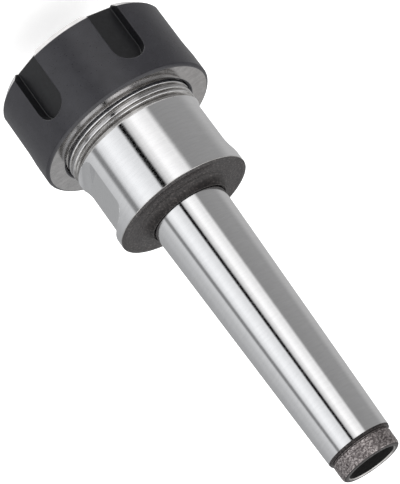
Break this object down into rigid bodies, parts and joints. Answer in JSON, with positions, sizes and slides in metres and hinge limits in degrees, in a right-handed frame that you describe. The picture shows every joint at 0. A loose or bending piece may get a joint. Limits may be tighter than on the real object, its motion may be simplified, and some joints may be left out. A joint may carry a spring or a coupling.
{
  "type": "collet chuck holder",
  "caption": "Collet chuck holder: taper shank with drawbar thread, ground collar with spanner flats, slotted spring collet and a slotted black clamping nut.",
  "frame": {"origin": "centre of the clamping nut's front face, on which the holder stands", "axes": "+Z along the common axis from the nut to the drawbar end of the shank, +X square to one spanner flat"},
  "size_m": [0.042, 0.042, 0.111],
  "materials": {
    "ground_steel": "ground bright, with dark scale on the shoulder and the shank's end",
    "black_oxide_steel": "satin black oxide, rear face ground bright",
    "collet_steel": "ground bright"
  },
  "bodies": {
    "holder": {"chuck_body": "ground_steel"},
    "collet": {"spring_collet": "collet_steel"},
    "nut": {"clamping_nut": "black_oxide_steel"}
  },
  "joints": [
    {"name": "collet_draw", "type": "slide", "parent": "holder", "child": "collet", "axis": [0, 0, -1], "range_m": [0, 0.0098]},
    {"name": "nut_turn", "type": "hinge", "parent": "collet", "child": "nut", "pos_m": [0, 0, 0.01], "axis": [0, 0, -1], "range_deg": [0, 2340]}
  ],
  "couplings": [
    {"joint": "collet_draw", "follows": "nut_turn", "m_per_rad": 0.00023873}
  ]
}
